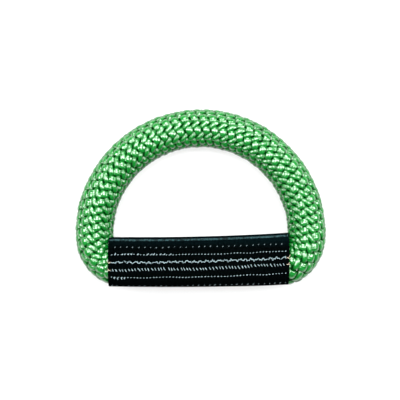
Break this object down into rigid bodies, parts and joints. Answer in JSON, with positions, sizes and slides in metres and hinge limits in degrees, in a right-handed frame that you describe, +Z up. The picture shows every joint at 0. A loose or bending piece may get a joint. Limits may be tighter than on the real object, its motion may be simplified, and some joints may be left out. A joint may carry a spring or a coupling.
{
  "type": "endless rope sling",
  "caption": "Short D-shaped endless loop of glossy green braided rope, its overlapped ends sewn through inside a black webbing sleeve.",
  "frame": {"origin": "centre of the bounding box on the surface the loop lies on", "axes": "loop lies flat: +X along the sleeve, +Y from the sleeve towards the crown of the arch, +Z up, through the loop"},
  "size_m": [0.0792, 0.0562, 0.0167],
  "materials": {
    "rope_green": "glossy braided filament yarn",
    "core_white": "twisted core yarn",
    "sleeve_black": "tight ribbed webbing",
    "thread_light": "bonded sewing thread"
  },
  "bodies": {
    "root": {"rope_sheath": "rope_green", "core_strand_1": "core_white", "core_strand_2": "core_white", "core_strand_3": "core_white", "core_strand_4": "core_white", "core_strand_5": "core_white", "core_strand_6": "core_white", "core_strand_7": "core_white", "sleeve_webbing": "sleeve_black", "needle_thread_1": "thread_light", "needle_thread_2": "thread_light", "needle_thread_3": "thread_light", "needle_thread_4": "thread_light", "needle_thread_5": "thread_light", "needle_thread_6": "thread_light", "bobbin_thread_1": "thread_light", "bobbin_thread_2": "thread_light", "bobbin_thread_3": "thread_light", "bobbin_thread_4": "thread_light", "bobbin_thread_5": "thread_light", "bobbin_thread_6": "thread_light"}
  },
  "joints": []
}
